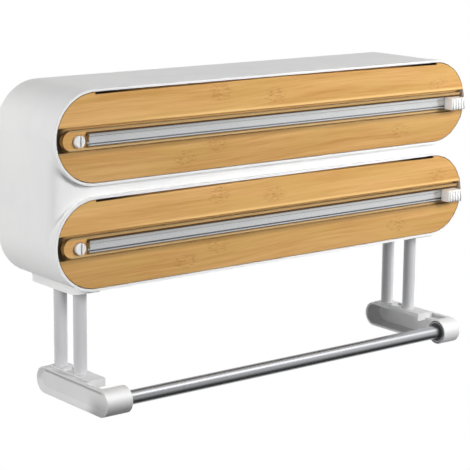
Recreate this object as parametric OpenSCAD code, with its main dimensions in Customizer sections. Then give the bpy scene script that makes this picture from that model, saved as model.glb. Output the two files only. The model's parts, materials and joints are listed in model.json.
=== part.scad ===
// Wall-hung wrap dispenser: two pull-out cassettes with slide cutters above a towel bar.
// x runs along the rolls, y = 0 is the wall, the fronts face -y, z = 0 is midway between the tiers.

/* [Cassette fronts] */
// Length of a front board
front_l = 385; // [360:5:410]
// Height of a front board
front_h = 62; // [58:1:66]
// Thickness of a front board
front_t = 10; // [9:0.5:12]
// Gap between a front board and its rim
front_gap = 0.6; // [0.4:0.1:0.8]
// Depth of the film slot at its two ends
film_slot = 1.4; // [0.6:0.1:1.8]
// Depth of the film slot at mid length
film_slot_mid = 0.2; // [0.1:0.1:0.5]
// Eased edge under the upper half of a front board
bevel = 0.5; // [0.2:0.1:1.2]

/* [Housing] */
// Depth from the wall to the front boards
depth = 75; // [70:1:85]
// Width of the rim round a front board
rim_w = 1.8; // [1.6:0.1:2.6]
// How far the rims stand before the front boards
rim_proud = 0.1; // [0:0.1:1.2]
// Length of a rim from front to back
rim_len = 9; // [7:0.5:12]
// How far the rims stand out from the sides of the housing
rim_step = 0.3; // [0.2:0.05:0.4]
// Height of the band between the two rims
band_h = 7.6; // [6.4:0.2:10]
// How far the band lies behind the front boards
band_set = 3.5; // [2.5:0.1:4.5]
// Thickness of the band's wall
band_wall = 2.4; // [1.8:0.1:3]
// Rounding of the sides beside the band
side_round = 9; // [6:0.5:11]

/* [Back panel] */
// Thickness of the back panel
panel_t = 3; // [2.5:0.1:4]
// Ledge that the back panel rests on
panel_ledge = 0.4; // [0.3:0.05:0.6]
// Clearance round the back panel
panel_gap = 0.2; // [0.1:0.05:0.3]
// Distance of the inner panel screws from the middle
mid_boss_x = 80; // [50:5:110]
// Distance between the two keyholes
key_span = 240; // [160:10:280]
// Height of the keyholes above the upper tier's middle
key_up = 17; // [14:0.5:19]
// Diameter of a keyhole's entry
key_d = 9; // [8:0.5:10]
// Width of a keyhole's slot
key_slot = 4.4; // [4:0.1:5]
// Rise of a keyhole's slot
key_rise = 8; // [6:0.5:9]

/* [Trays] */
// Wall of a tray
tray_wall = 1.8; // [1.4:0.1:2.4]
// Running gap between a tray and its compartment
tray_gap = 0.3; // [0.2:0.05:0.4]
// Height of a tray's brim above the tier's middle
tray_brim = 4; // [0:1:10]
// Distance from the wall to the back of a tray
tray_back = 9; // [8:0.5:11]

// Distance of the inner front screws from the middle
front_screw_in = 45; // [30:5:70]
// Distance of the outer front screws from the middle
front_screw_out = 130; // [110:5:145]
// Drop of the front screws below the tier's middle
front_screw_drop = 18; // [14:0.5:20]

/* [Catch] */
// Diameter of a magnet
magnet_d = 10; // [8:0.5:12]
// Depth of a magnet's seat in the back panel
magnet_seat = 1; // [0.6:0.1:1.4]
// Distance of the magnets from the middle
magnet_x = 60; // [30:5:100]
// Thickness of a strike plate
strike_t = 0.8; // [0.5:0.1:1.2]
// Gap between a magnet and its strike plate
strike_gap = 0.1; // [0.05:0.05:0.3]

/* [Cutter] */
// How far the line of the cutter lies below the middle of its board
cutter_drop = 1.2; // [0:0.1:1.5]
// Height of the strip in the channel
strip_h = 14; // [13:0.1:15]
// Thickness of the strip
strip_t = 4; // [3.6:0.1:4.6]
// Gap below the strip
strip_gap = 0.6; // [0.3:0.1:0.8]
// Gap above the strip
strip_over = 2.4; // [0.8:0.1:2.8]
// How far the strip lies behind the face of its board
strip_set = 2; // [1:0.1:2.4]
// Distance from the left end of the board to the strip
strip_left = 5.8; // [5:0.1:7]
// Distance from the right end of the board to the strip
strip_right = 2; // [1.8:0.1:3]
// Distance of the outer strip screw from the middle
strip_screw_out = 150; // [120:5:160]
// Height of the rail
rail_h = 8.9; // [8.4:0.1:10]
// Thickness of the rail
rail_t = 4; // [3.8:0.1:4.6]
// Depth of the rail's seat in the strip
rail_seat = 1; // [0.6:0.1:1.4]
// Distance from the end of the strip to the left end of the rail
rail_left = 19.4; // [18.4:0.2:26]
// Distance from the end of the strip to the right end of the rail
rail_right = 4.3; // [3.5:0.1:6]
// Width of the slot along the rail
rail_slot = 1.1; // [1:0.1:1.3]
// Wall of the rail before its groove
rail_wall = 0.9; // [0.7:0.1:1.1]
// Height of the leaning band along the top of the rail
rail_band = 1.8; // [1.4:0.1:2.2]
// How far the top of that band leans back
rail_lean = 0.2; // [0.1:0.05:0.8]
// Width of the fine line under that band
rail_line = 0.3; // [0.2:0.05:0.5]
// Rounding along the bottom of the rail
rail_lip = 0.6; // [0.3:0.1:0.8]
// Height of the groove inside the rail
groove_h = 2.8; // [2.6:0.1:3]
// Depth of the groove inside the rail
groove_d = 1.6; // [1.4:0.1:1.7]
// How far the groove lies below the middle of the rail
groove_drop = 2.5; // [2.3:0.05:2.6]
// Diameter of the button
button_d = 8.6; // [8:0.1:10]
// Distance from the end of the strip to the button
button_in = 12.7; // [11:0.1:13]
// How far the button lies below the line of the cutter
button_drop = 0.8; // [0:0.1:1]
// How far the button stands before its board
button_out = 0.3; // [0.2:0.1:2]
// Room round the button in its seat
button_room = 0.6; // [0.4:0.1:0.8]
// Bevel round the button
button_bevel = 0.6; // [0.3:0.1:1]
// Width of the slot across the button
button_slot_w = 2.2; // [1.6:0.1:3]
// Depth of the slot across the button
button_slot_d = 1; // [0.6:0.1:1.4]
// Width of a slider
slider_w = 15.5; // [13:0.5:18]
// How far a slider stands before its board
slider_out = 10.4; // [8:0.1:12]
// Height of a slider
slider_h = 9.5; // [8.5:0.1:11]
// How far a slider reaches below its rail
slider_under = 0.7; // [0:0.1:1]
// Rounding of a slider's front edges
slider_round = 1.6; // [0.8:0.1:2]
// Distance from the right end of the rail to a parked slider
slider_end = 0.5; // [0:0.1:1]
// Gap between a slider and its rail
slider_gap = 0.3; // [0.2:0.05:0.4]
// Gap round a slider's foot in the groove
foot_gap = 0.25; // [0.15:0.05:0.3]
// Number of grip grooves in a slider
rib_n = 4; // [2:1:4]
// Distance between the grip grooves
rib_pitch = 2.9; // [2.4:0.1:3]
// Width of a grip groove
rib_w = 1.1; // [0.8:0.1:1.4]
// Depth of a grip groove
rib_d = 0.8; // [0.4:0.1:1.2]
// Distance from a slider's right side to the first grip groove
rib_in = 1.2; // [0.8:0.1:2]

/* [Towel holder] */
// Distance of the posts from the rounded ends of the housing
post_inset = 1.1; // [0:0.1:8]
// Distance of the front posts from the wall
post_front = 52; // [48:0.5:55]
// Distance of the rear posts from the wall
post_rear = 26.6; // [22:0.2:30]
// Diameter of a post
post_d = 9.8; // [9:0.1:11]
// Free length of a post
post_len = 59.7; // [50:0.1:80]
// Depth of a post's sockets
post_in = 1.2; // [0.8:0.1:1.6]
// Thickness of a foot
foot_t = 5.2; // [5:0.1:8]
// Width of a foot
foot_w = 17.2; // [16:0.2:18]
// Distance from the posts to the outer side of a foot
foot_out = 10; // [9:0.1:11]
// How far the underside of a foot rises to its front end
foot_rise = 3.4; // [2:0.1:4]
// Distance from the wall to the front end of a foot
foot_front = 71; // [66:0.5:73]
// Distance from the wall to the rear end of a foot
foot_rear = 0.3; // [0:0.1:4]
// Rounding of a foot's ends
foot_round = 6.4; // [3:0.1:6.4]
// Distance from the wall to the bar
bar_out = 91.7; // [88:0.1:98]
// Distance from the wall to the rear bend of an arm
arm_rear = 19.3; // [15:0.1:20]
// Radius of an arm's ends
arm_r = 9.8; // [9.6:0.1:11]
// Distance from the posts to the outer side of an arm
arm_off = 10.15; // [9.5:0.05:11]
// Width of an arm
arm_w = 17.9; // [16.5:0.1:19]
// Wall round an arm's hollow
arm_wall = 1.6; // [1.2:0.1:2]
// Thickness of an arm's outer side
arm_side = 3.6; // [3.2:0.1:4]
// Width of the boss at the front of the left arm
left_boss_w = 21.4; // [20:0.1:22]
// Width of the boss at the front of the right arm
right_boss_w = 16.6; // [15.5:0.1:17.4]
// Width of the notch between the pad and the boss
notch_w = 9; // [6:0.5:11]
// Depth of the panel sunk in an arm's outer side
sunk_d = 2; // [1:0.1:2.2]
// Width of the edge round that panel
sunk_edge = 1; // [0.6:0.1:1.6]
// Width of the slope from that edge to the panel
sunk_slope = 3.2; // [1.5:0.1:4]
// Drop from the top of an arm to the ledge behind the boss
ledge_drop = 3.2; // [2:0.1:4]
// How far the pad under the posts stands above the arm
pad_up = 1.2; // [0.8:0.1:1.6]
// Distance from the outer side of an arm to the pad
pad_edge = 5; // [4:0.1:5.2]
// Distance from the wall to the rear edge of the pad
pad_rear = 20; // [19:0.2:20.6]
// Width of the recess between the posts
pad_slot_w = 10; // [5:0.5:11]
// Depth of the recess between the posts
pad_slot_d = 1.5; // [0.8:0.1:1.8]
// Distance from the wall to the front edge of the pad
pad_front = 72; // [68:0.2:74]

/* [Towel bar] */
// Diameter of the bar
bar_d = 10.5; // [9.5:0.1:11]
// Wall of the bar
bar_wall = 0.7; // [0.5:0.1:1]
// Running clearance round the bar
run_gap = 0.06; // [0.03:0.01:0.1]
// Diameter of the bores in the bosses
bore_d = 15.6; // [15:0.1:16]
// Diameter of the flanges round the bar
flange_d = 17.6; // [17:0.1:18]
// Thickness of the flanges
flange_t = 1.2; // [1:0.1:1.4]
// How far the flanges lie inside the bosses
flange_set = 0.5; // [0.3:0.1:0.6]
// Width of the trim rings on the flanges
ring_w = 0.6; // [0.4:0.1:0.8]
// Bevel round the mouth of a boss
boss_bevel = 0.4; // [0.2:0.1:0.6]
// Travel of the bar against its spring
bar_travel = 5.2; // [4.4:0.1:5.6]
// How far the bar's right end clears its bush when pushed left
bar_clear = 0.2; // [0.1:0.1:0.6]
// Length of the pusher
pusher_l = 5.5; // [5:0.1:6]
// Floor of the pusher
pusher_floor = 1.8; // [1.4:0.1:2.2]
// Room left for the closed spring
spring_room = 2.9; // [2.9:0.1:3.2]
// Wire of the spring
wire_d = 0.7; // [0.5:0.05:0.8]
// Turns of the spring
turns = 3.5; // [3:0.5:4]

/* [Fasteners] */
// Shank diameter of the screws
screw_d = 3.8; // [3.2:0.1:4]
// Head diameter of the screws
head_d = 7.2; // [6.6:0.1:7.4]
// Height of a pan head
head_h = 2.2; // [1.8:0.1:2.4]
// How far the tapping screws bite
bite = 5; // [4:0.5:6]
// How far the screws of the arms bite into the posts
post_bite = 8; // [6:0.5:12]
// Length of the screws of the back panel
panel_screw_l = 9; // [7:0.5:10]
// Clearance round shanks, plugs, pins and seats
fit_gap = 0.1; // [0.05:0.01:0.15]

/* [Hidden] */
$fn = 64;
white = [0.93, 0.93, 0.92];
bamboo = [0.86, 0.68, 0.40];
steel = [0.75, 0.76, 0.78];
alloy = [0.80, 0.81, 0.83];
dark = [0.30, 0.30, 0.32];

// rims, compartments and the body of the housing
pocket_l = front_l + 2 * front_gap;
pocket_h = front_h + 2 * front_gap;
rim_l = pocket_l + 2 * rim_w;
rim_h = pocket_h + 2 * rim_w;
tier_pitch = rim_h + band_h;
tier = tier_pitch / 2;
body_w = rim_l - 2 * rim_step;
body_h = tier_pitch + rim_h - 2 * rim_step;
body_r = rim_h / 2 - rim_step;
wall = rim_w - rim_step;
y_face = -depth;
y_rim = y_face - rim_proud;
y_band = y_face + band_set;
floor_z = -tier - pocket_h / 2;
under_z = -body_h / 2;
boss_od = band_h + 1;
side_boss_x = body_w / 2 - wall - boss_od / 2 + 0.6;
panel_screws = [for (x = [side_boss_x, mid_boss_x], s = [-1, 1]) s * x];

// channel, strip and rail, from the middle of a tier
strip_x0 = strip_left - front_l / 2;
strip_x1 = front_l / 2 - strip_right;
channel_low = -strip_h / 2 - strip_gap;
channel_high = strip_h / 2 + strip_over;
y_strip = y_face + strip_set;
y_channel = y_strip + strip_t;
y_rail_back = y_strip + rail_seat;
y_rail = y_rail_back - rail_t;
rail_x0 = strip_x0 + rail_left;
rail_x1 = strip_x1 - rail_right;
button_x = strip_x0 + button_in;
y_button = y_face - button_out;
strip_screw_x = [0, strip_screw_out];
slider_x = rail_x1 - slider_end - slider_w / 2;
y_knob = y_rail - slider_gap;
y_knob_face = y_face - slider_out;
neck_w = slider_w / 2 - 0.75;
neck_in = 2;
blade_in = 2.5;
blade_t = 0.5;

// trays and their catches
y_tray = y_face + front_t;
tray_l = pocket_l - 2 * tray_gap;
tray_h = pocket_h - 2 * tray_gap;
tray_mid = (tray_l - tray_h) / 2;
tray_screws = [for (x = [front_screw_in, front_screw_out], s = [-1, 1]) s * x];
tray_screw_z = -front_screw_drop;
magnet_l = tray_back - strike_t - strike_gap - panel_t + magnet_seat;
strike_w = magnet_d + 4;

// towel holder
foot_top = under_z;
foot_z = foot_top - foot_t;
foot_y0 = -foot_front;
foot_y1 = -foot_rear;
foot_bend = -post_front - post_d / 2 - 1;
pad_top = foot_z - post_len;
arm_top = pad_top - pad_up;
bar_z = arm_top - arm_r;
post_x = (front_l - front_h) / 2 - post_inset;
arm_out = post_x + arm_off;
arm_in = arm_out - arm_w;
left_boss = left_boss_w - arm_out;
right_boss = arm_out - right_boss_w;
pad_t = arm_wall + pad_up;
mouth_d = flange_set + flange_t;
pocket_len = (post_front - post_rear) - post_d - 5;
bar_in = bar_travel - bar_clear;
bar_x1 = right_boss + flange_set + bar_in;
pusher_x1 = left_boss - mouth_d - flange_t - fit_gap;
pusher_x0 = pusher_x1 - pusher_l;
bar_x0 = pusher_x0 + pusher_floor + fit_gap;
bush_l = flange_set + bar_in + 1.5;
bore_depth = mouth_d + flange_t + fit_gap + pusher_l + bar_travel + spring_room;
spring_x0 = left_boss - bore_depth;
spring_x1 = pusher_x0;
spring_r = bore_d / 2 - 1.2 - wire_d / 2;
plug_l = 5;

// flat shapes
module stadium(l, h) {
  square([l - h, h], center = true);
  for (s = [-1, 1]) translate([s * (l - h) / 2, 0]) circle(d = h);
}
module rounded(w, h, r) {
  square([w - 2 * r, h], center = true);
  square([w, h - 2 * r], center = true);
  for (s = [-1, 1], t = [-1, 1]) translate([s * (w / 2 - r), t * (h / 2 - r)]) circle(r);
}
// a flat shape drawn in x and z, from y0 back to y1
module along_y(y0, y1) translate([0, y1, 0]) rotate([90, 0, 0]) linear_extrude(y1 - y0) children();
// a flat shape drawn in y and z, from x0 to x1
module along_x(x0, x1) translate([x0, 0, 0]) rotate([90, 0, 90]) linear_extrude(x1 - x0) children();
module rod_x(x0, x1, r) translate([x0, 0, 0]) rotate([0, 90, 0]) cylinder(r = r, h = x1 - x0);
module rod_y(y0, y1, r) translate([0, y0, 0]) rotate([-90, 0, 0]) cylinder(r = r, h = y1 - y0);
module tiers() for (s = [-1, 1]) translate([0, 0, s * tier]) children();
module mirrored() { children(); mirror([1, 0, 0]) children(); }

// screws point along -z with the seat of the head at z = 0
module cross_slot(z) for (a = [0, 90]) rotate(a)
  translate([-head_d * 0.3, -0.45, z]) cube([head_d * 0.6, 0.9, 2]);
module pan_screw(l) difference() {
  union() {
    cylinder(d = head_d, h = head_h);
    translate([0, 0, -l]) cylinder(d = screw_d, h = l + 0.5);
  }
  cross_slot(head_h - 1);
}
module flush_screw(l) difference() {
  union() {
    translate([0, 0, -wall]) cylinder(d1 = screw_d, d2 = head_d, h = wall);
    translate([0, 0, -l]) cylinder(d = screw_d, h = l - wall + 0.2);
  }
  cross_slot(-0.9);
}
module flush_hole(l) {
  translate([0, 0, -wall]) cylinder(d1 = screw_d + 2 * fit_gap, d2 = head_d + 2 * fit_gap, h = wall);
  cylinder(d = head_d + 2 * fit_gap, h = 2);
  translate([0, 0, -l]) cylinder(d = screw_d + 2 * fit_gap, h = l);
}
module at_panel_screws() for (x = panel_screws) translate([x, 0, 0]) rotate([-90, 0, 0]) children();
module at_post_tops() for (s = [-1, 1], y = [-post_front, -post_rear])
  translate([s * post_x, y, floor_z]) children();
module at_magnets() tiers() mirrored() translate([magnet_x, 0, 0]) children();

// the space behind the band, between the two compartments
module band_void() difference() {
  translate([0, 0, -tier]) linear_extrude(tier_pitch)
    band_plan(body_w - 2 * wall, y_band + band_wall, side_round - wall);
  tiers() along_y(y_band, 2) stadium(rim_l, rim_h);
}
// plan of that space, open to the wall and rounded at its front corners
module band_plan(w, y, r) {
  translate([-w / 2, y + r]) square([w, 1 - y - r]);
  translate([r - w / 2, y]) square([w - 2 * r, 1 - y]);
  for (s = [-1, 1]) translate([s * (w / 2 - r), y + r]) circle(r);
}
// what a rounded vertical edge takes away on the right
module side_corner(w, y, r) translate([0, 0, -tier]) linear_extrude(tier_pitch) difference() {
  translate([w / 2 - r, y - 1]) square([r + 1, r + 1]);
  translate([w / 2 - r, y + r]) circle(r);
}

module housing() color(white) difference() {
  union() {
    difference() {
      along_y(y_band, 0) rounded(body_w, body_h, body_r);
      mirrored() side_corner(body_w, y_band, side_round);
      band_void();
    }
    tiers() along_y(y_rim, y_face + rim_len) stadium(rim_l, rim_h);
    for (x = panel_screws) translate([x, 0, 0]) rod_y(-panel_t - panel_screw_l, -panel_t / 2, boss_od / 2);
  }
  tiers() along_y(y_rim - 1, 1) stadium(pocket_l, pocket_h);
  along_y(-panel_t, 1) rounded(body_w - 2 * (wall - panel_ledge), body_h - 2 * (wall - panel_ledge),
    body_r - wall + panel_ledge);
  at_panel_screws() translate([0, 0, -panel_screw_l])
    cylinder(d = screw_d + 2 * fit_gap, h = panel_screw_l + 1);
  at_post_tops() flush_hole(foot_t);
}

module keyhole() {
  rod_y(-panel_t - 1, 1, key_d / 2);
  along_y(-panel_t - 1, 1) {
    translate([-key_slot / 2, 0]) square([key_slot, key_rise]);
    translate([0, key_rise]) circle(d = key_slot);
  }
}
module back_panel() color(white) difference() {
  along_y(-panel_t, 0) rounded(body_w - 2 * (wall - panel_ledge + panel_gap),
    body_h - 2 * (wall - panel_ledge + panel_gap), body_r - wall + panel_ledge - panel_gap);
  at_panel_screws() flush_hole(panel_t + 1);
  at_magnets() rod_y(-panel_t - 1, -panel_t + magnet_seat, magnet_d / 2 + fit_gap);
  mirrored() translate([key_span / 2, 0, tier + key_up]) keyhole();
}
module back_panel_screws() color(steel) at_panel_screws() flush_screw(panel_screw_l);
module catch_magnets() color([0.45, 0.46, 0.48]) at_magnets()
  rod_y(-panel_t + magnet_seat - magnet_l, -panel_t + magnet_seat, magnet_d / 2);

// right-hand pieces of the towel holder, mirrored for the left
module foot() difference() {
  translate([post_x + foot_out - foot_w / 2, (foot_y0 + foot_y1) / 2, foot_z])
    linear_extrude(foot_t + 2) rounded(foot_w, foot_y1 - foot_y0, foot_round);
  along_x(0, body_w) polygon([[foot_bend, foot_z], [foot_y0 - 1, foot_z + foot_rise],
    [foot_y0 - 1, foot_z - 1], [foot_bend, foot_z - 1]]);
  along_y(y_face, 1) rounded(body_w + fit_gap, body_h + fit_gap, body_r + fit_gap / 2);
  translate([0, 0, -tier]) along_y(y_rim, y_face + rim_len + fit_gap)
    stadium(rim_l + 2 * fit_gap, rim_h + 2 * fit_gap);
  for (y = [-post_front, -post_rear]) translate([post_x, y, foot_z]) {
    translate([0, 0, -1]) cylinder(d = post_d + 2 * fit_gap, h = post_in + 1);
    cylinder(d = screw_d + 2 * fit_gap, h = foot_t + 3);
  }
}
module post(y) difference() {
  translate([post_x, y, pad_top - post_in]) cylinder(d = post_d, h = post_len + 2 * post_in);
  translate([post_x, y, pad_top - post_in - 1]) cylinder(d = screw_d + 2 * fit_gap, h = post_bite + 5);
  translate([post_x, y, foot_z + post_in - post_bite - 4])
    cylinder(d = screw_d + 2 * fit_gap, h = post_bite + 5);
}
module arm_shape(r) {
  translate([-bar_out, bar_z - r]) square([bar_out - arm_rear, 2 * r]);
  for (y = [-bar_out, -arm_rear]) translate([y, bar_z]) circle(r);
}
// hollow of the arm, which stops short of the boss
module arm_hollow() along_x(arm_in - 1, arm_out - arm_side) difference() {
  arm_shape(arm_r - arm_wall);
  translate([-bar_out, bar_z]) circle(arm_r + arm_wall);
  translate([-bar_out, arm_top - ledge_drop - arm_wall])
    square([bar_out - pad_front + arm_wall, ledge_drop + arm_wall + 1]);
}
// sunk panel with a sloping edge on the outer side
module arm_sunk() {
  r1 = arm_r - sunk_edge;
  r0 = r1 - sunk_slope;
  for (y = [-bar_out, -arm_rear]) translate([arm_out - sunk_d, y, bar_z]) rotate([0, 90, 0])
    cylinder(r1 = r0, r2 = r1 + sunk_slope / sunk_d * 0.2, h = sunk_d + 0.2);
  translate([0, -arm_rear, 0]) rotate([90, 0, 0]) linear_extrude(bar_out - arm_rear)
    translate([arm_out, bar_z]) polygon([[-sunk_d, -r0], [0.2, -r1 - sunk_slope / sunk_d * 0.2],
      [0.2, r1 + sunk_slope / sunk_d * 0.2], [-sunk_d, r0]]);
}
// room before the pad, which the boss crosses
module arm_notch() along_x(arm_in - 1, arm_in + notch_w) translate([-bar_out - arm_r - 1, bar_z - arm_r - 1])
  square([bar_out - pad_front + arm_r + 1, 2 * arm_r + 2]);
// the boss reaches in to x = b and its bore runs on from there
module arm(b, bore) difference() {
  union() {
    difference() {
      along_x(arm_in, arm_out) arm_shape(arm_r);
      arm_hollow();
      arm_notch();
    }
    translate([arm_in, -pad_front, arm_top - 1]) cube([arm_w - pad_edge, pad_front - pad_rear, 1 + pad_up]);
    translate([0, -bar_out, bar_z]) {
      rod_x(b + boss_bevel, arm_in + notch_w + 1, arm_r);
      translate([b, 0, 0]) rotate([0, 90, 0])
        cylinder(r1 = arm_r - boss_bevel, r2 = arm_r, h = boss_bevel);
    }
  }
  along_x(arm_in - 1, arm_out - arm_wall) difference() {
    translate([-bar_out, arm_top - ledge_drop]) square([bar_out - pad_front, ledge_drop + pad_up + 1]);
    translate([-bar_out, bar_z]) circle(arm_r);
  }
  translate([post_x - pad_slot_w / 2, -post_front + post_d / 2 + 1, pad_top - pad_slot_d])
    cube([pad_slot_w, pocket_len, pad_slot_d + 1]);
  for (y = [-post_front, -post_rear]) translate([post_x, y, pad_top - post_in]) {
    cylinder(d = post_d + 2 * fit_gap, h = post_in + 1);
    translate([0, 0, -pad_t]) cylinder(d = screw_d + 2 * fit_gap, h = pad_t + 1);
  }
  arm_sunk();
  translate([0, -bar_out, bar_z]) {
    rod_x(b - 1, b + bore, bore_d / 2);
    rod_x(b - 1, b + mouth_d, flange_d / 2 + fit_gap);
  }
}
module left_foot() color(white) mirror([1, 0, 0]) foot();
module right_foot() color(white) foot();
module left_front_post() color(white) mirror([1, 0, 0]) post(-post_front);
module left_rear_post() color(white) mirror([1, 0, 0]) post(-post_rear);
module right_front_post() color(white) post(-post_front);
module right_rear_post() color(white) post(-post_rear);
module bracket_screws() color(steel) at_post_tops() flush_screw(wall + foot_t - post_in + post_bite);
module left_arm() color(white) mirror([1, 0, 0]) arm(-left_boss, bore_depth);
module right_arm() color(white) arm(right_boss, bush_l + 0.5);
module arm_screws() color(steel) for (s = [-1, 1], y = [-post_front, -post_rear])
  translate([s * post_x, y, arm_top - arm_wall]) rotate([180, 0, 0]) pan_screw(pad_t - post_in + post_bite);

// towel bar with its sprung left seat
module left_collar() color(dark) translate([0, -bar_out, bar_z]) difference() {
  union() {
    rod_x(left_boss - mouth_d, left_boss - flange_set, flange_d / 2);
    rod_x(left_boss - mouth_d - flange_t, left_boss - mouth_d + flange_t / 2, bore_d / 2 - fit_gap);
  }
  rod_x(left_boss - mouth_d - flange_t - 1, left_boss + 1, bar_d / 2 + 0.5);
}
module right_bush() color(dark) translate([0, -bar_out, bar_z]) difference() {
  union() {
    rod_x(right_boss + flange_set, right_boss + mouth_d, flange_d / 2);
    rod_x(right_boss + mouth_d - flange_t / 2, right_boss + bush_l, bore_d / 2 - fit_gap);
  }
  rod_x(right_boss - 1, bar_x1 + fit_gap, bar_d / 2 + run_gap);
}
module bar_rings() color(steel) for (x = [left_boss - flange_set, right_boss])
  translate([x, -bar_out, bar_z]) difference() {
    rod_x(0, flange_set, bore_d / 2 + ring_w / 2);
    rod_x(-1, 1, bore_d / 2 - ring_w / 2);
  }
module bar_pusher() color(dark) translate([0, -bar_out, bar_z]) difference() {
  rod_x(pusher_x0, pusher_x1, bore_d / 2 - 0.3);
  rod_x(pusher_x0 + pusher_floor, pusher_x1 + 1, bar_d / 2 + run_gap);
}
// wire wound up the length of the spring
module pusher_spring() {
  sides = 6;
  rings = 12 * turns;
  rise = spring_x1 - spring_x0 - wire_d;
  color(steel) translate([spring_x0, -bar_out, bar_z]) rotate([0, 90, 0]) polyhedron(
    points = [for (i = [0 : rings], j = [0 : sides - 1])
      let (a = 30 * i, b = 360 / sides * j, r = spring_r + wire_d / 2 * cos(b))
        [r * cos(a), r * sin(a), wire_d / 2 * (1 + sin(b)) + rise * i / rings]],
    faces = concat([[for (j = [0 : sides - 1]) j]], [[for (j = [sides - 1 : -1 : 0]) rings * sides + j]],
      [for (i = [0 : rings - 1], j = [0 : sides - 1]) let (p = i * sides, q = p + sides, k = (j + 1) % sides)
        each [[p + j, q + j, q + k], [p + j, q + k, p + k]]]));
}
module towel_bar() color(steel) translate([0, -bar_out, bar_z]) difference() {
  rod_x(bar_x0, bar_x1, bar_d / 2);
  rod_x(bar_x0 - 1, bar_x1 + 1, bar_d / 2 - bar_wall);
}
module bar_plugs() color(dark) translate([0, -bar_out, bar_z]) for (x = [bar_x0, bar_x1 - plug_l])
  rod_x(x, x + plug_l, bar_d / 2 - bar_wall - 0.02);

// pieces of one cassette, drawn at the middle of its tier
module front() difference() {
  along_y(y_face, y_tray) stadium(front_l, front_h);
  along_y(y_face - 1, y_tray + 1) polygon([[-(front_l - front_h) / 2, front_h / 2 + 1],
    [-(front_l - front_h) / 2, front_h / 2 - film_slot], [0, front_h / 2 - film_slot_mid],
    [(front_l - front_h) / 2, front_h / 2 - film_slot], [(front_l - front_h) / 2, front_h / 2 + 1]]);
  for (x = tray_screws) translate([x, 0, tray_screw_z])
    rod_y(y_tray - bite - 1, y_tray + 1, screw_d / 2 + fit_gap);
  lowered() {
    along_x(-front_l, front_l) polygon([[y_face - 1, channel_low], [y_channel, channel_low],
      [y_channel, channel_high], [y_face + bevel, channel_high], [y_face - 1, channel_high + bevel + 1]]);
    translate([button_x, 0, -button_drop]) rod_y(y_channel - 1, y_tray - 1, screw_d / 2 + fit_gap);
    for (x = strip_screw_x) translate([x, 0, 0]) {
      rod_y(y_channel - 1, y_tray + 1, screw_d / 2 + fit_gap);
      rod_y(y_tray - head_h - 0.2, y_tray + 1, head_d / 2 + fit_gap);
    }
  }
}
// straight trough, closed at each end by a rounded cap
module tray() difference() {
  along_x(-tray_mid, tray_mid) polygon([[y_tray, -tray_h / 2],
    [-tray_back, -tray_h / 2], [-tray_back, tray_brim],
    [-tray_back - tray_wall, tray_brim], [-tray_back - tray_wall, tray_wall - tray_h / 2],
    [y_tray + tray_wall, tray_wall - tray_h / 2], [y_tray + tray_wall, tray_brim], [y_tray, tray_brim]]);
  for (x = tray_screws) translate([x, 0, tray_screw_z])
    rod_y(y_tray - 1, y_tray + tray_wall + 1, screw_d / 2 + fit_gap);
}
module tray_ends() mirrored() difference() {
  intersection() {
    along_y(y_tray, -tray_back) stadium(tray_l, tray_h);
    translate([tray_mid, y_tray - 1, -tray_h]) cube([tray_l, depth, tray_h + tray_brim]);
  }
  along_y(y_tray + tray_wall, -tray_back - tray_wall) stadium(tray_l - 2 * tray_wall, tray_h - 2 * tray_wall);
}
module front_screws() for (x = tray_screws) translate([x, y_tray + tray_wall, tray_screw_z])
  rotate([-90, 0, 0]) pan_screw(tray_wall + bite);
// pieces of the cutter, drawn on its own line
module strip() difference() {
  along_y(y_strip, y_channel) translate([strip_x0 + strip_h / 2, 0]) {
    circle(d = strip_h);
    translate([0, -strip_h / 2]) square([strip_x1 - strip_x0 - strip_h / 2, strip_h]);
  }
  translate([rail_x0 - fit_gap, y_strip - 1, -rail_h / 2 - fit_gap])
    cube([front_l, rail_seat + 1, rail_h + 2 * fit_gap]);
  translate([button_x, 0, -button_drop]) {
    rod_y(y_strip - 1, y_strip + rail_seat, button_d / 2 + button_room);
    rod_y(y_strip, y_channel + 1, screw_d / 2 + fit_gap);
  }
  for (x = strip_screw_x) translate([x, 0, 0])
    rod_y(y_strip + rail_seat + 0.6, y_channel + 1, screw_d / 2 + fit_gap);
}
// extruded rail: a leaning top band, a fine line, a flat face and a slot that opens into a groove
module rail() {
  f = y_rail;
  g0 = -groove_drop - groove_h / 2;
  g1 = -groove_drop + groove_h / 2;
  s0 = -groove_drop - rail_slot / 2;
  s1 = -groove_drop + rail_slot / 2;
  b = f + rail_wall;
  c = b + groove_d;
  t = rail_h / 2;
  l = t - rail_band;
  along_x(rail_x0, rail_x1) polygon([[y_rail_back, -t], [f + rail_lip, -t],
    [f + 0.3 * rail_lip, 0.3 * rail_lip - t], [f, rail_lip - t],
    [f, s0], [b, s0], [b, g0], [c, g0], [c, g1], [b, g1], [b, s1], [f, s1], [f, l - rail_line],
    [f + rail_line, l - rail_line / 2], [f, l], [f + rail_lean, t], [y_rail_back, t]]);
}
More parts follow.
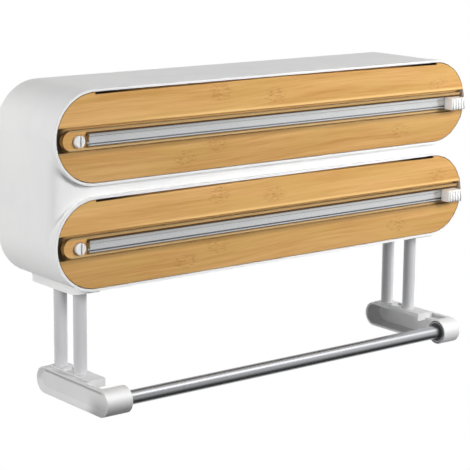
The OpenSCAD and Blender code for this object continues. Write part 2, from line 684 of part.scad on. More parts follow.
// slotted button with a bevelled edge
module button() translate([button_x, 0, -button_drop]) difference() {
  union() {
    rod_y(y_button + button_bevel, y_rail_back, button_d / 2);
    translate([0, y_button, 0]) rotate([-90, 0, 0])
      cylinder(d1 = button_d - 2 * button_bevel, d2 = button_d, h = button_bevel);
    rod_y(y_strip, y_tray - 2, screw_d / 2);
  }
  translate([-button_slot_w / 2, y_button - 1, -button_d])
    cube([button_slot_w, 1 + button_slot_d, 2 * button_d]);
}
module strip_screws() for (x = strip_screw_x) translate([x, y_tray - head_h - 0.2, 0]) rotate([-90, 0, 0])
  pan_screw(y_tray - head_h - 0.2 - (y_strip + rail_seat + 0.8));
module strike_plates() mirrored() translate([magnet_x - strike_w / 2, -tray_back, tray_brim - strike_w - 1])
  cube([strike_w, strike_t, strike_w]);
module slider_foot() translate([slider_x, 0, -groove_drop]) {
  translate([-neck_w / 2 - 2.5, y_rail + rail_wall + foot_gap, -groove_h / 2 + foot_gap])
    cube([neck_w + 5, groove_d - 2 * foot_gap, groove_h - 2 * foot_gap]);
  translate([-neck_w / 2, y_knob - neck_in, -rail_slot / 2 + 0.2])
    cube([neck_w, y_rail + rail_wall + foot_gap + 0.3 - y_knob + neck_in, rail_slot - 0.4]);
}
module slider_knob() difference() {
  translate([slider_x, 0, -rail_h / 2 - slider_under]) linear_extrude(slider_h) {
    translate([-slider_w / 2, y_knob_face + slider_round])
      square([slider_w, y_knob - y_knob_face - slider_round]);
    translate([slider_round - slider_w / 2, y_knob_face])
      square([slider_w - 2 * slider_round, 2 * slider_round]);
    for (s = [-1, 1]) translate([s * (slider_w / 2 - slider_round), y_knob_face + slider_round])
      circle(slider_round);
  }
  for (i = [0 : rib_n - 1])
    translate([slider_x + slider_w / 2 - rib_in - rib_w - i * rib_pitch, y_knob_face - 1, -slider_h])
      cube([rib_w, 1 + rib_d, 2 * slider_h]);
  translate([slider_x, 0, -groove_drop]) {
    translate([-neck_w / 2 - fit_gap, y_knob - neck_in - fit_gap, -rail_slot / 2 + 0.2 - fit_gap])
      cube([neck_w + 2 * fit_gap, neck_in + 1, rail_slot - 0.4 + 2 * fit_gap]);
    translate([-slider_w / 2 + 0.5, y_knob - blade_in - fit_gap, -blade_t / 2 - fit_gap])
      cube([slider_w - 1, blade_in + 1, blade_t + 2 * fit_gap]);
  }
}
// thin blade with a point at each end, notched round the slider's neck
module blade() translate([slider_x, 0, -groove_drop - blade_t / 2]) linear_extrude(blade_t) {
  e = slider_w / 2 - 0.7;
  n = neck_w / 2 + 2 * fit_gap;
  b = y_knob - blade_in;
  k = y_knob - neck_in - 2 * fit_gap;
  polygon([[-e, b], [e, b], [e, y_knob], [n + 1.2, y_rail + 0.6], [n, y_rail + 0.6], [n, k],
    [-n, k], [-n, y_rail + 0.6], [-n - 1.2, y_rail + 0.6], [-e, y_knob]]);
}
module upper() translate([0, 0, tier]) children();
module lower() translate([0, 0, -tier]) children();
module lowered() translate([0, 0, -cutter_drop]) children();
module upper_front() color(bamboo) upper() front();
module upper_tray() color(white) upper() tray();
module upper_tray_ends() color(white) upper() tray_ends();
module upper_front_screws() color(steel) upper() front_screws();
module upper_strip() color(bamboo) upper() lowered() strip();
module upper_rail() color(alloy) upper() lowered() rail();
module upper_button() color(white) upper() lowered() button();
module upper_strip_screws() color(steel) upper() lowered() strip_screws();
module upper_strike_plates() color(steel) upper() strike_plates();
module upper_slider_foot() color(dark) upper() lowered() slider_foot();
module upper_slider_knob() color(white) upper() lowered() slider_knob();
module upper_blade() color(steel) upper() lowered() blade();
module lower_front() color(bamboo) lower() front();
module lower_tray() color(white) lower() tray();
module lower_tray_ends() color(white) lower() tray_ends();
module lower_front_screws() color(steel) lower() front_screws();
module lower_strip() color(bamboo) lower() lowered() strip();
module lower_rail() color(alloy) lower() lowered() rail();
module lower_button() color(white) lower() lowered() button();
module lower_strip_screws() color(steel) lower() lowered() strip_screws();
module lower_strike_plates() color(steel) lower() strike_plates();
module lower_slider_foot() color(dark) lower() lowered() slider_foot();
module lower_slider_knob() color(white) lower() lowered() slider_knob();
module lower_blade() color(steel) lower() lowered() blade();

housing();
back_panel();
back_panel_screws();
catch_magnets();
left_foot();
right_foot();
left_front_post();
left_rear_post();
right_front_post();
right_rear_post();
bracket_screws();
left_arm();
right_arm();
arm_screws();
left_collar();
right_bush();
bar_rings();
bar_pusher();
pusher_spring();
towel_bar();
bar_plugs();
upper_front();
upper_tray();
upper_tray_ends();
upper_front_screws();
upper_strip();
upper_rail();
upper_button();
upper_strip_screws();
upper_strike_plates();
upper_slider_foot();
upper_slider_knob();
upper_blade();
lower_front();
lower_tray();
lower_tray_ends();
lower_front_screws();
lower_strip();
lower_rail();
lower_button();
lower_strip_screws();
lower_strike_plates();
lower_slider_foot();
lower_slider_knob();
lower_blade();
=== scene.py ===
import bpy, bmesh, json, math
from mathutils import Matrix, Vector

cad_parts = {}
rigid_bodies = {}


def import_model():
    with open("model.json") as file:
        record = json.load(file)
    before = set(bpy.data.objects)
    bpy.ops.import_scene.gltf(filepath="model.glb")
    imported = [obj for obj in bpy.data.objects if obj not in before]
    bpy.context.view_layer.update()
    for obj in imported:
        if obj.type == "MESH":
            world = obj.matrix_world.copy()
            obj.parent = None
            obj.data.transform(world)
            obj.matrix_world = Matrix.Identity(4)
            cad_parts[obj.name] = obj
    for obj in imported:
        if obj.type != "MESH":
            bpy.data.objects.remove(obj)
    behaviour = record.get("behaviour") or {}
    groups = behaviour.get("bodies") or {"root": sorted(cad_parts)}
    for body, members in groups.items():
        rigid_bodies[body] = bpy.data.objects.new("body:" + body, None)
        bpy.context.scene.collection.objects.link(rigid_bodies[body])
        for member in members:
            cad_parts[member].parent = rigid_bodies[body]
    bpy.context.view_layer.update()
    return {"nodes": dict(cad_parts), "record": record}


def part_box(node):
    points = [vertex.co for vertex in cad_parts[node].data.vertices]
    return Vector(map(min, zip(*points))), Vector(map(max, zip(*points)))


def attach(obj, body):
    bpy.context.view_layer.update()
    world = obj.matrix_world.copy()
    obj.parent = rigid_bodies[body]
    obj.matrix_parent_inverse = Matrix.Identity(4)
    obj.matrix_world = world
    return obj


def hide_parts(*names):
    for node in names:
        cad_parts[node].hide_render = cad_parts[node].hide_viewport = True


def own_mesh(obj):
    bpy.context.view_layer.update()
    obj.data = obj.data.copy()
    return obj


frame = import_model()
nodes = frame["nodes"]
scene = bpy.context.scene
scene.view_settings.view_transform = "Standard"
tierHeight = 0.0372  # each tier's middle, above or below the origin
print("frame loaded:", len(nodes), "nodes")

# camera, fitted to the photograph's edges
shot = {"place": (-0.82331, -1.06714, 0.22171), "aim": (-0.03967, -0.075, -0.04559), "roll": 0.56,
        "lens": 135.06, "sensor": 36.0, "clip": (0.05, 200)}


def makeCamera():
    data = bpy.data.cameras.new("camera")
    data.lens, data.sensor_width, data.sensor_fit = shot["lens"], shot["sensor"], "HORIZONTAL"
    data.clip_start, data.clip_end = shot["clip"]
    cam = bpy.data.objects.new("camera", data)
    scene.collection.objects.link(cam)
    ahead = (Vector(shot["aim"]) - Vector(shot["place"])).normalized()
    side = ahead.cross(Vector((0, 0, 1))).normalized()
    up = side.cross(ahead)
    c, s = math.cos(math.radians(shot["roll"])), math.sin(math.radians(shot["roll"]))
    side, up = c * side + s * up, c * up - s * side
    turn = Matrix((side, up, -ahead)).transposed().to_4x4()
    cam.matrix_world = Matrix.Translation(shot["place"]) @ turn
    scene.camera = cam


makeCamera()


# a socket that can be used in plain sums
class Wire:
    def __init__(self, net, socket):
        self.net, self.socket = net, socket

    def sum(self, how, a, b):
        return self.net.add("ShaderNodeMath", {"operation": how}, {0: a, 1: b})

    def __add__(self, o): return self.sum("ADD", self, o)
    def __radd__(self, o): return self.sum("ADD", o, self)
    def __sub__(self, o): return self.sum("SUBTRACT", self, o)
    def __rsub__(self, o): return self.sum("SUBTRACT", o, self)
    def __mul__(self, o): return self.sum("MULTIPLY", self, o)
    def __rmul__(self, o): return self.sum("MULTIPLY", o, self)
    def __truediv__(self, o): return self.sum("DIVIDE", self, o)
    def __pow__(self, o): return self.sum("POWER", self, o)
    def __gt__(self, o): return self.sum("GREATER_THAN", self, o)
    def atLeast(self, o): return self.sum("MAXIMUM", self, o)
    def atMost(self, o): return self.sum("MINIMUM", self, o)

    def step(self, low, high):  # 0 below low, 1 above high
        return self.net.add("ShaderNodeMapRange", {"interpolation_type": "SMOOTHSTEP"},
                            {0: self, 1: low, 2: high})

    def band(self, rise, top, fall, end):  # 1 from top to fall, 0 outside
        return self.step(rise, top) * (1 - self.step(fall, end))


# the node tree of a material or of the world
class Net:
    def __init__(self, owner):
        owner.use_nodes = True
        self.owner, self.tree = owner, owner.node_tree
        self.tree.nodes.clear()

    def add(self, kind, settings=None, sockets=None, out=0):
        node = self.tree.nodes.new(kind)
        for key, value in (settings or {}).items():
            if key == "stops":
                ramp = node.color_ramp.elements
                while len(ramp) < len(value):
                    ramp.new(0.5)
                for stop, (place, colour) in zip(ramp, value):
                    stop.position, stop.color = place, (*colour, 1)
            else:
                setattr(node, key, value)
        for key, value in (sockets or {}).items():
            if isinstance(value, Wire):
                self.tree.links.new(value.socket, node.inputs[key])
            else:
                node.inputs[key].default_value = value
        return Wire(self, node.outputs[out])

    def place(self):  # the point on the piece, whole and as x, y, z
        where = self.add("ShaderNodeTexCoord", None, None, "Object")
        node = self.add("ShaderNodeSeparateXYZ", None, {0: where}).socket.node
        return where, [Wire(self, node.outputs[i]) for i in range(3)]

    def grain(self, where, stretch, scale, detail=3.0, rough=0.55, seed=0.0):
        spread = self.add("ShaderNodeMapping", None, {
            0: where, "Scale": stretch, "Location": (seed, seed * 0.7, seed * 1.3)})
        return self.add("ShaderNodeTexNoise", None, {
            "Vector": spread, "Scale": scale, "Detail": detail, "Roughness": rough})

    def blend(self, how, factor, a, b):
        return self.add("ShaderNodeMix", {"data_type": "RGBA", "blend_type": how}, {0: factor, 6: a, 7: b}, 2)

    def mark(self, base, look, mask):  # one colour laid over another
        return self.blend("MIX", look["weight"] * mask, base, tint(*look["colour"]))

    def shadeBy(self, base, stops, value):
        return self.blend("MULTIPLY", 1.0, base, self.add("ShaderNodeValToRGB", {"stops": stops}, {0: value}))

    def bump(self, height, depth, strength=1.0):
        return self.add("ShaderNodeBump", None, {"Height": height, "Distance": depth, "Strength": strength})

    def finish(self, sockets):
        return self.close(self.add("ShaderNodeBsdfPrincipled", None, sockets))

    def close(self, shader, kind="ShaderNodeOutputMaterial"):
        end = self.tree.nodes.new(kind)
        self.tree.links.new(shader.socket, end.inputs[0])
        return self.owner

    def seen(self):  # 1 where the camera, a reflection or a clear piece looks
        path = self.tree.nodes.new("ShaderNodeLightPath")
        eye, gloss, clear = (Wire(self, path.outputs["Is %s Ray" % k])
                             for k in ("Camera", "Glossy", "Transmission"))
        return eye.atLeast(gloss).atLeast(clear)


def tint(r, g, b):  # screen colour, 0 to 255, as linear light
    return tuple(((c / 255 + 0.055) / 1.055) ** 2.4 if c > 10 else c / 255 / 12.92 for c in (r, g, b)) + (1,)


# moulded plastic with a faint flow and a fine spark-eroded skin
skinLook = {"flow": 14, "flowTone": (0.35, 0.65), "flowRough": 0.1,
            "skin": 2600, "skinRough": 0.08, "depth": 0.00002, "relief": 0.35}
shadeEdge = {"out": 0.0004, "low": 0.002}  # how softly the painted shade starts
armShade = [  # painted shade on the upper slope of the sunk panels, then under the sprung boss
    {"both": True, "out": (0.16865, 0.1704), "along": (-0.0935, -0.0195), "up": (-0.142, -0.1371),
     "fade": 0.0008, "weight": 0.6, "colour": (140, 140, 140)},
    {"both": False, "out": (0.12, 0.1716), "along": (-0.11, -0.07), "up": (-0.165, -0.139),
     "fade": 0.017, "weight": 0.68, "colour": (112, 112, 112)}]
plasticLook = {"white": {"colour": (246, 246, 245), "deep": (240, 240, 240), "rough": 0.34},
               "post": {"colour": (208, 208, 210), "deep": (202, 202, 204), "rough": 0.14, "ior": 1.65},
               "arm": {"colour": (228, 228, 228), "deep": (219, 219, 219), "rough": 0.5, "pearl": 0.22,
                       "shadeZones": armShade},
               "dark": {"colour": (62, 62, 66), "deep": (50, 50, 54), "rough": 0.45}}


def plasticFinish(name, colour, deep, rough, pearl=0.0, ior=1.46, shadeZones=()):
    look = skinLook
    net = Net(bpy.data.materials.new(name))
    where, (x, y, z) = net.place()
    flow = net.grain(where, (1, 1, 1), look["flow"], 3)
    skin = net.grain(where, (1, 1, 1), look["skin"], 2)
    shade = net.blend("MIX", flow.step(*look["flowTone"]), tint(*deep), tint(*colour))
    # painted shade laid into the colour in each given zone
    for zone in shadeZones:
        out = (x * x) ** 0.5 if zone["both"] else 0 - x
        low, high = zone["out"]
        inShade = out.band(low, low + shadeEdge["out"], high - shadeEdge["out"], high)
        for way, (low, high) in ((y, zone["along"]), (z, zone["up"])):
            inShade = inShade * way.band(low, low + shadeEdge["low"], high - zone["fade"], high)
        shade = net.mark(shade, zone, inShade)
    dull = rough + look["flowRough"] * (flow - 0.5) + look["skinRough"] * (skin - 0.5)
    return net.finish({"Base Color": shade, "Roughness": dull, "IOR": ior, "Metallic": pearl,
                       "Normal": net.bump(skin, look["depth"], look["relief"])})


# bamboo: long fibres, paler and darker streaks, speckled nodes
bambooLook = {"pale": (233, 185, 120), "deep": (198, 144, 73),
              "drift": 0.007, "wave": 0.008, "waveSpan": (-0.09, 0.08),
              "broad": 1.8, "fibre": 1.25, "fine": 0.6,
              "patch": {"colour": (214, 176, 98), "weight": 0.3, "span": (0.42, 0.62)},
              "fleck": {"colour": (166, 112, 48), "weight": 0.6, "span": (0.49, 0.66), "gain": 1.5},
              "knots": [(-0.054, 0.0235), (-0.0026, 0.0175), (0.165, 0.014),
                        (0.123, -0.02), (-0.085, -0.0215), (-0.056, -0.0136)],
              "knotSize": (0.0125, 0.0072), "rough": 0.42, "fibreRough": 0.16, "heights": (0.6, 0.4, 0.5),
              "depth": 0.00006, "relief": 0.5, "gloss": 0.3, "lacquer": 0.05, "lacquerRough": 0.3}
bambooGrain = {  # stretch, detail, roughness and seed of each noise
    "drift": ((6, 40, 40), 3, 0.5, 0), "broad": ((5, 60, 90), 4, 0.6, 3),
    "fibre": ((14, 500, 620), 3, 0.6, 7), "fine": ((60, 2400, 2600), 2, 0.6, 11),
    "dash": ((300, 1200, 1500), 3, 0.6, 5), "patch": ((16, 40, 70), 2, 0.5, 13)}
# brown of the painted shadows below the channel and along the rail
shadeBrown = (58, 36, 15)
boardLook = {"half": 0.031, "inside": (-0.0746, -0.0732),
             "tones": [(0.0, (0.87, 0.87, 0.86)), (0.38, (0.9, 0.9, 0.89)), (0.46, (1.0, 1.0, 1.0))],
             "paintedChannelLight": {"colour": (246, 204, 138), "weight": 0.5},
             "paintedEdgeHighlight": {"colour": (255, 211, 139), "weight": 0.9, "up": (0.0078, 0.0082, 0.0088, 0.0112),
                        "along": (-0.16, -0.05)},
             "paintedShadowBelow": {"colour": shadeBrown, "weight": 0.4, "up": (-0.0125, -0.009, -0.0085, -0.008)},
             "paintedRecessShade": {"colour": (30, 18, 9), "weight": 0.95},
             "slot": {"up": (0.026, 0.028), "farSquared": (0.0132, 0.021, 0.0262, 0.0266),
                      "back": (-0.0672, -0.0666)},
             "end": {"out": (0.179, 0.187), "upSquared": (0.00008, 0.0001)}}
stripLook = {"paintedShadeUnderBoard": {"colour": (170, 146, 103), "weight": 0.95, "up": (0.0042, 0.005)},
             "lowLip": {"colour": (198, 174, 128), "weight": 0.95, "up": (-0.0073, -0.0068)},
             "paintedRailShadowBelow": {"colour": shadeBrown, "weight": 0.55, "up": (-0.007, -0.0066, -0.005, -0.004)},
             "paintedRailShadowAbove": {"colour": shadeBrown, "weight": 0.93, "up": (0.001, 0.002, 0.0038, 0.0045)},
             "railFrom": (-0.1684, -0.1676)}


def knotMask(x, up):
    mask = None
    wide, high = bambooLook["knotSize"]
    for kx, kz in bambooLook["knots"]:
        near = (1 - (((x - kx) / wide) ** 2 + ((up - kz) / high) ** 2)).atLeast(0)
        mask = near if mask is None else mask.atLeast(near)
    return mask


def markBoard(net, base, x, y, up):
    look = boardLook
    share = (up + look["half"]) / (2 * look["half"])
    base = net.shadeBy(base, look["tones"], share)  # the lower half darker than the upper half
    inside = y.step(*look["inside"])
    base = net.mark(base, look["paintedChannelLight"], inside)  # painted light making the shaded channel paler
    paintedEdgeHighlight = up.band(*look["paintedEdgeHighlight"]["up"]) * (1 - inside) * x.step(*look["paintedEdgeHighlight"]["along"])
    base = net.mark(base, look["paintedEdgeHighlight"], paintedEdgeHighlight)  # painted highlight on the edge above the channel
    paintedShadowBelow = up.band(*look["paintedShadowBelow"]["up"]) * (1 - inside)
    base = net.mark(base, look["paintedShadowBelow"], paintedShadowBelow)  # painted shadow below the channel
    slot, end = look["slot"], look["end"]
    film = up.step(*slot["up"]) * (x * x).band(*slot["farSquared"]) * (1 - y.step(*slot["back"]))
    tip = (0 - x).step(*end["out"]) * (1 - (up * up).step(*end["upSquared"]))
    return net.mark(base, look["paintedRecessShade"], tip.atLeast(film) * inside)  # painted shade in the film slot and at the channel end


def markStrip(net, base, x, up):
    look = stripLook
    # painted shadow on the top of the strip, under the board's upper half
    base = net.mark(base, look["paintedShadeUnderBoard"], up.step(*look["paintedShadeUnderBoard"]["up"]))
    base = net.mark(base, look["lowLip"], 1 - up.step(*look["lowLip"]["up"]))
    for line in ("paintedRailShadowBelow", "paintedRailShadowAbove"):  # painted shadow along both sides of the rail
        base = net.mark(base, look[line], up.band(*look[line]["up"]) * x.step(*look["railFrom"]))
    return base


def bambooFinish(name, middle, seed, board):
    look = bambooLook
    net = Net(bpy.data.materials.new(name))
    where, (x, y, z) = net.place()
    up = z - middle

    def noise(place, key):
        stretch, detail, rough, shift = bambooGrain[key]
        return net.grain(place, stretch, 1.0, detail, rough, seed + shift)

    rise = look["wave"] * x.step(*look["waveSpan"])  # the rings rise in a long wave
    waver = z + look["drift"] * (noise(where, "drift") - 0.5) - rise
    bent = net.add("ShaderNodeCombineXYZ", None, {0: x, 1: y, 2: waver})
    broad, fibre, fine = (noise(bent, key) for key in ("broad", "fibre", "fine"))
    dash = noise(where, "dash").step(*look["fleck"]["span"])
    patch = noise(where, "patch").step(*look["patch"]["span"])
    fleck = (knotMask(x, up) * look["fleck"]["gain"]).atMost(1) * dash
    tone = 0.5 + look["broad"] * (broad - 0.5) + look["fibre"] * (fibre - 0.5) + look["fine"] * (fine - 0.5)
    base = net.blend("MIX", tone.atLeast(0).atMost(1), tint(*look["deep"]), tint(*look["pale"]))
    base = net.mark(base, look["patch"], patch)
    base = net.mark(base, look["fleck"], fleck)
    base = markBoard(net, base, x, y, up) if board else markStrip(net, base, x, up)
    proud, hair, sunk = look["heights"]
    height = proud * fibre + hair * fine - sunk * fleck
    return net.finish({"Base Color": base, "Roughness": look["rough"] + look["fibreRough"] * (fibre - 0.5),
                       "Normal": net.bump(height, look["depth"], look["relief"]),
                       "Specular IOR Level": look["gloss"],
                       "Coat Weight": look["lacquer"], "Coat Roughness": look["lacquerRough"]})


# metals drawn or brushed along x
metalLook = {"rail": {"colour": (228, 229, 231), "rough": 0.27, "streak": 0.10, "relief": 0.4, "paintedTopShade": True},
             "bar": {"colour": (174, 175, 178), "rough": 0.3, "streak": 0.03, "relief": 0.06},
             "zinc": {"colour": (186, 188, 192), "rough": 0.36, "streak": 0.08, "relief": 0.4},
             "nickel": {"colour": (128, 130, 134), "rough": 0.3, "streak": 0.06, "relief": 0.4}}
brushLook = {"lines": (8, 5200, 5200), "cloud": (12, 60, 60), "dull": 0.88, "cloudRough": 0.06,
             "depth": 0.000006}
railLook = {"low": -0.00565, "height": 0.0089,
            "tones": [(0.0, (1.0, 1.0, 1.0)), (0.55, (0.98, 0.98, 0.97)), (0.8, (0.88, 0.88, 0.86)),
                      (0.95, (0.72, 0.71, 0.69)), (1.0, (0.42, 0.41, 0.38))]}  # painted shade, darker towards the top


def metalFinish(name, colour, rough, streak, relief, paintedTopShade=False):
    look = brushLook
    net = Net(bpy.data.materials.new(name))
    where, axes = net.place()
    lines = net.grain(where, look["lines"], 1.0, 2, 0.6)
    cloud = net.grain(where, look["cloud"], 1.0, 3)
    dull = tuple(c * look["dull"] for c in colour)
    shade = net.blend("MIX", 0.5 * lines + 0.5 * cloud, tint(*dull), tint(*colour))
    # painted shade along the rail's top edge
    if paintedTopShade:
        z = axes[2]
        up = z + tierHeight - 2 * tierHeight * (z > 0)
        shade = net.shadeBy(shade, railLook["tones"], (up - railLook["low"]) / railLook["height"])
    return net.finish({"Base Color": shade, "Metallic": 1.0,
                       "Roughness": rough + streak * (lines - 0.5) + look["cloudRough"] * (cloud - 0.5),
                       "Normal": net.bump(lines, look["depth"], relief)})


plastics = {key: plasticFinish(key + "Moulding", **look) for key, look in plasticLook.items()}
metals = {key: metalFinish(key + "Metal", **look) for key, look in metalLook.items()}
bamboo = {node: bambooFinish(node + "Bamboo", middle, seed, board) for node, middle, seed, board in (
    ("upper_front", tierHeight, 0.0, True), ("upper_strip", tierHeight, 5.0, False),
    ("lower_front", -tierHeight, 23.0, True), ("lower_strip", -tierHeight, 31.0, False))}
slotFinish = {"white_plastic": plastics["white"], "post_plastic": plastics["post"],
              "grey_plastic": plastics["dark"], "rail_alloy": metals["rail"], "bar_steel": metals["bar"],
              "screw_steel": metals["zinc"], "magnet": metals["nickel"]}
ownFinish = {**bamboo, "left_arm": plastics["arm"], "right_arm": plastics["arm"]}
for entry in frame["record"]["subparts"]:
    finish = ownFinish.get(entry["node"]) or slotFinish[entry["material_slot"]]
    for part in nodes[entry["node"]].material_slots:
        part.material = finish
print("finishes set")


# geometry trees: named inputs in, real faces with a finish out
class GeoTree:
    def __init__(self, name, inputs):
        self.tree = bpy.data.node_groups.new(name, "GeometryNodeTree")
        port = self.tree.interface
        port.new_socket("Geometry", in_out="OUTPUT", socket_type="NodeSocketGeometry")
        self.ids = {key: port.new_socket(key, in_out="INPUT", socket_type="NodeSocket" + kind).identifier
                    for key, kind in inputs}
        self.given = self.tree.nodes.new("NodeGroupInput").outputs

    def add(self, kind, sockets):
        node = self.tree.nodes.new(kind)
        for key, value in sockets.items():
            if isinstance(value, bpy.types.NodeSocket):
                self.tree.links.new(value, node.inputs[key])
            else:
                node.inputs[key].default_value = value
        return node.outputs[0]

    def join(self, *parts):
        node = self.tree.nodes.new("GeometryNodeJoinGeometry")
        for part in parts:
            self.tree.links.new(part, node.inputs[0])
        return node.outputs[0]

    def close(self, shape, finish):
        real = self.add("GeometryNodeRealizeInstances", {"Geometry": shape})
        coat = self.add("GeometryNodeSetMaterial", {"Geometry": real, "Material": finish})
        self.tree.links.new(coat, self.tree.nodes.new("NodeGroupOutput").inputs[0])
        return self

    def make(self, name, mesh, values):  # a plain mesh object, with no modifier left
        start = bpy.data.objects.new(name + "Start", mesh)
        scene.collection.objects.link(start)
        mod = start.modifiers.new("tree", "NODES")
        mod.node_group = self.tree
        for key, value in values.items():
            mod[self.ids[key]] = value
        view = bpy.context.evaluated_depsgraph_get()
        piece = bpy.data.objects.new(name, bpy.data.meshes.new_from_object(start.evaluated_get(view)))
        bpy.data.objects.remove(start)
        scene.collection.objects.link(piece)
        return piece


def stand(piece, node, body):
    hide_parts(node)
    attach(piece, body)


# slide knobs: a softened block whose grip ribs are set out along its face
knobLook = {"round": 0.0014, "roundSteps": 4, "flatFrom": 6e-5,
            "ribs": 5, "pitch": 0.0029, "radius": 0.0007, "ends": 0.0006, "sides": 10}


def ribTree(finish):
    net = GeoTree("gripRibs", (
        ("block", "Geometry"), ("ribs", "Int"), ("first", "Vector"), ("step", "Vector"),
        ("radius", "Float"), ("length", "Float"), ("sides", "Int")))
    given = net.given
    row = net.add("GeometryNodeMeshLine", {
        "Count": given["ribs"], "Start Location": given["first"], "Offset": given["step"]})
    rib = net.add("GeometryNodeMeshCylinder", {
        "Radius": given["radius"], "Depth": given["length"], "Vertices": given["sides"]})
    soft = net.add("GeometryNodeSetShadeSmooth", {"Geometry": rib})
    spread = net.add("GeometryNodeInstanceOnPoints", {"Points": row, "Instance": soft})
    return net.close(net.join(given["block"], spread), finish)


def knobBlock(name, low, high):
    look = knobLook
    shape = bmesh.new()
    block = Matrix.Translation((low + high) / 2) @ Matrix.Diagonal((*(high - low), 1))
    bmesh.ops.create_cube(shape, size=1.0, matrix=block)
    edges = [e for e in shape.edges if min(v.co.y for v in e.verts) < low.y + 1e-6]  # at the front
    bmesh.ops.bevel(shape, geom=edges, offset=look["round"], segments=look["roundSteps"], profile=0.5,
                    affect="EDGES")
    mesh = bpy.data.meshes.new(name + "Block")
    shape.to_mesh(mesh)
    shape.free()
    for face in mesh.polygons:
        face.use_smooth = face.area < look["flatFrom"]
    return mesh


def makeKnob(name, node, body, net):
    look = knobLook
    low, high = (Vector(c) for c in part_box(node))
    low.y += look["radius"]  # the ribs reach the front of the box
    middle = (low + high) / 2
    span = look["pitch"] * (look["ribs"] - 1)
    knob = net.make(name, knobBlock(name, low, high), {
        "ribs": look["ribs"], "first": (middle.x - span / 2, low.y, middle.z), "step": (look["pitch"], 0, 0),
        "radius": look["radius"], "length": high.z - low.z - 2 * look["ends"], "sides": look["sides"]})
    stand(knob, node, body)


ribs = ribTree(plastics["white"])
for tierName in ("upper", "lower"):
    makeKnob(tierName + "Knob", tierName + "_slider_knob", tierName + "_cutter", ribs)
print("knobs made")

# spring behind the towel bar: one wound wire
springLook = {"wire": 0.0007, "turns": 3.5, "points": 24, "sides": 8,
              "fixedEnd": -0.16575, "freeEnd": -0.15765, "travel": 0.0052}


def springTree(finish):
    net = GeoTree("woundWire", (
        ("turns", "Float"), ("points", "Int"), ("radius", "Float"), ("rise", "Float"),
        ("place", "Vector"), ("wire", "Float"), ("sides", "Int")))
    given = net.given
    path = net.add("GeometryNodeCurveSpiral", {
        "Resolution": given["points"], "Rotations": given["turns"], "Start Radius": given["radius"],
        "End Radius": given["radius"], "Height": given["rise"]})
    ring = net.add("GeometryNodeCurvePrimitiveCircle", {
        "Resolution": given["sides"], "Radius": given["wire"]})
    wound = net.add("GeometryNodeCurveToMesh", {"Curve": path, "Profile Curve": ring, "Fill Caps": True})
    laid = net.add("GeometryNodeTransform", {
        "Geometry": wound, "Translation": given["place"], "Rotation": (0, math.pi / 2, 0)})
    return net.close(net.add("GeometryNodeSetShadeSmooth", {"Geometry": laid}), finish)


def makeSpring(net):
    look = springLook
    low, high = (Vector(c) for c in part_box("pusher_spring"))
    middle = (low + high) / 2
    spring = net.make("springWire", bpy.data.meshes.new("springStart"), {
        "turns": look["turns"], "points": look["points"], "radius": (high.z - low.z - look["wire"]) / 2,
        "rise": high.x - low.x - look["wire"], "place": (low.x + look["wire"] / 2, middle.y, middle.z),
        "wire": look["wire"] / 2, "sides": look["sides"]})
    stand(spring, "pusher_spring", "frame")
    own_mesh(spring)


makeSpring(springTree(metals["zinc"]))
print("spring made")

# white room: a pale floor far below, soft lamps round the part, cards that only gloss sees
roomLook = {"floor": -3.0, "reach": 40.0, "paper": (205, 205, 205), "air": 0.135, "near": 0.9, "far": 2.6}
lamps = {"key": {"place": (0.70, -1.15, 0.41), "aim": (0.05, -0.07, -0.02),
                 "size": (0.6, 0.6), "watts": 19.4},
         "side": {"place": (-1.2, -0.16, 0.22), "aim": (-0.17, -0.03, -0.02),
                  "size": (0.25, 0.95), "watts": 8.5},
         "back": {"place": (0.1, 1.5, -0.03), "aim": (0, 0, -0.03),
                  "size": (0.8, 0.8), "watts": 12}}
cardSpan = {"left": -0.9, "right": 1.6, "toneFrom": 0.45, "toneTo": 1.05}
cards = {  # y and z of the two long edges, tones at the left and the right
    "frontCard": {"first": (-1.0, -0.42), "last": (-1.0, 0.02), "tones": (0.72, 1.12)},
    "highCard": {"first": (-1.0, 0.02), "last": (-1.0, 0.5), "tones": (0.5, 1.5)},
    "lowCard": {"first": (-1.0, -0.75), "last": (-1.0, -0.42), "tones": (0.4, 0.45)},
    "overCard": {"first": (-1.5, 0.9), "last": (-0.55, 0.9), "tones": (3.1, 3.4)},
    "hindCard": {"first": (-0.54, 0.9), "last": (1.0, 0.9), "tones": (1.05, 1.05)},
    "underCard": {"first": (-0.75, -0.6), "last": (-0.02, -0.6), "tones": (0.06, 0.06)}}


def makeSheet(name, corners, finish):
    mesh = bpy.data.meshes.new(name)
    mesh.from_pydata(corners, [], [(0, 1, 2, 3)])
    sheet = bpy.data.objects.new(name, mesh)
    scene.collection.objects.link(sheet)
    mesh.materials.append(finish)
    return sheet


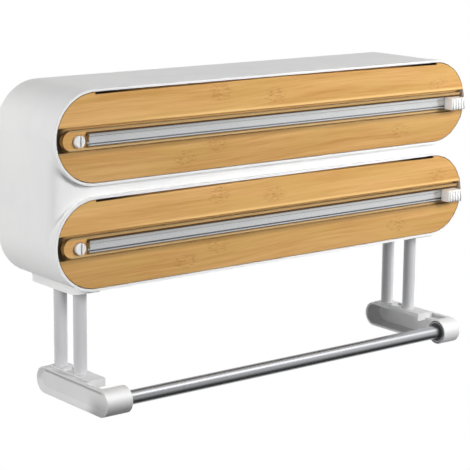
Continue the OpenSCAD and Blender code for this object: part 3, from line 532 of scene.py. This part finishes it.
def makeFloor():
    r, z = roomLook["reach"], roomLook["floor"]
    net = Net(bpy.data.materials.new("floorPaper"))
    x, y = net.place()[1][:2]
    away = ((x * x + y * y) ** 0.5).step(roomLook["near"], roomLook["far"])
    paper = net.add("ShaderNodeBsdfDiffuse", None, {"Color": tint(*roomLook["paper"])})
    glow = net.add("ShaderNodeEmission", None, {"Color": (1, 1, 1, 1), "Strength": 1.0})
    white = net.seen() * (0.5 + 0.5 * away)
    finish = net.close(net.add("ShaderNodeMixShader", None, {0: white, 1: paper, 2: glow}))
    makeSheet("floor", ((-r, -r, z), (r, -r, z), (r, r, z), (-r, r, z)), finish)


def makeWorld():
    scene.world = bpy.data.worlds.new("room")
    net = Net(scene.world)
    dim, bright = (net.add("ShaderNodeBackground", None, {"Color": (1, 1, 1, 1), "Strength": k})
                   for k in (roomLook["air"], 1.0))
    sky = net.add("ShaderNodeMixShader", None, {0: net.seen(), 1: dim, 2: bright})
    net.close(sky, "ShaderNodeOutputWorld")


def makeLamps():
    for name, lamp in lamps.items():
        data = bpy.data.lights.new(name, "AREA")
        data.shape, data.size, data.size_y, data.energy = "RECTANGLE", *lamp["size"], lamp["watts"]
        obj = bpy.data.objects.new(name, data)
        obj.location = lamp["place"]
        ahead = Vector(lamp["aim"]) - Vector(lamp["place"])
        obj.rotation_euler = ahead.to_track_quat("-Z", "Y").to_euler()
        obj.visible_glossy = False  # the cards stand in for the lamps in the gloss
        scene.collection.objects.link(obj)


def makeCards():
    left, right = cardSpan["left"], cardSpan["right"]
    for name, card in cards.items():
        net = Net(bpy.data.materials.new(name + "Paper"))
        x = net.place()[1][0]
        near, far = ((tone, tone, tone, 1) for tone in card["tones"])
        shade = net.blend("MIX", x.step(cardSpan["toneFrom"], cardSpan["toneTo"]), near, far)
        finish = net.close(net.add("ShaderNodeEmission", None, {"Color": shade, "Strength": 1.0}))
        first, last = card["first"], card["last"]
        corners = ((left, *first), (right, *first), (right, *last), (left, *last))
        sheet = makeSheet(name, corners, finish)
        sheet.visible_camera = sheet.visible_diffuse = False
        sheet.visible_shadow = sheet.visible_transmission = False


makeFloor()
makeWorld()
makeLamps()
makeCards()
print("stage set")
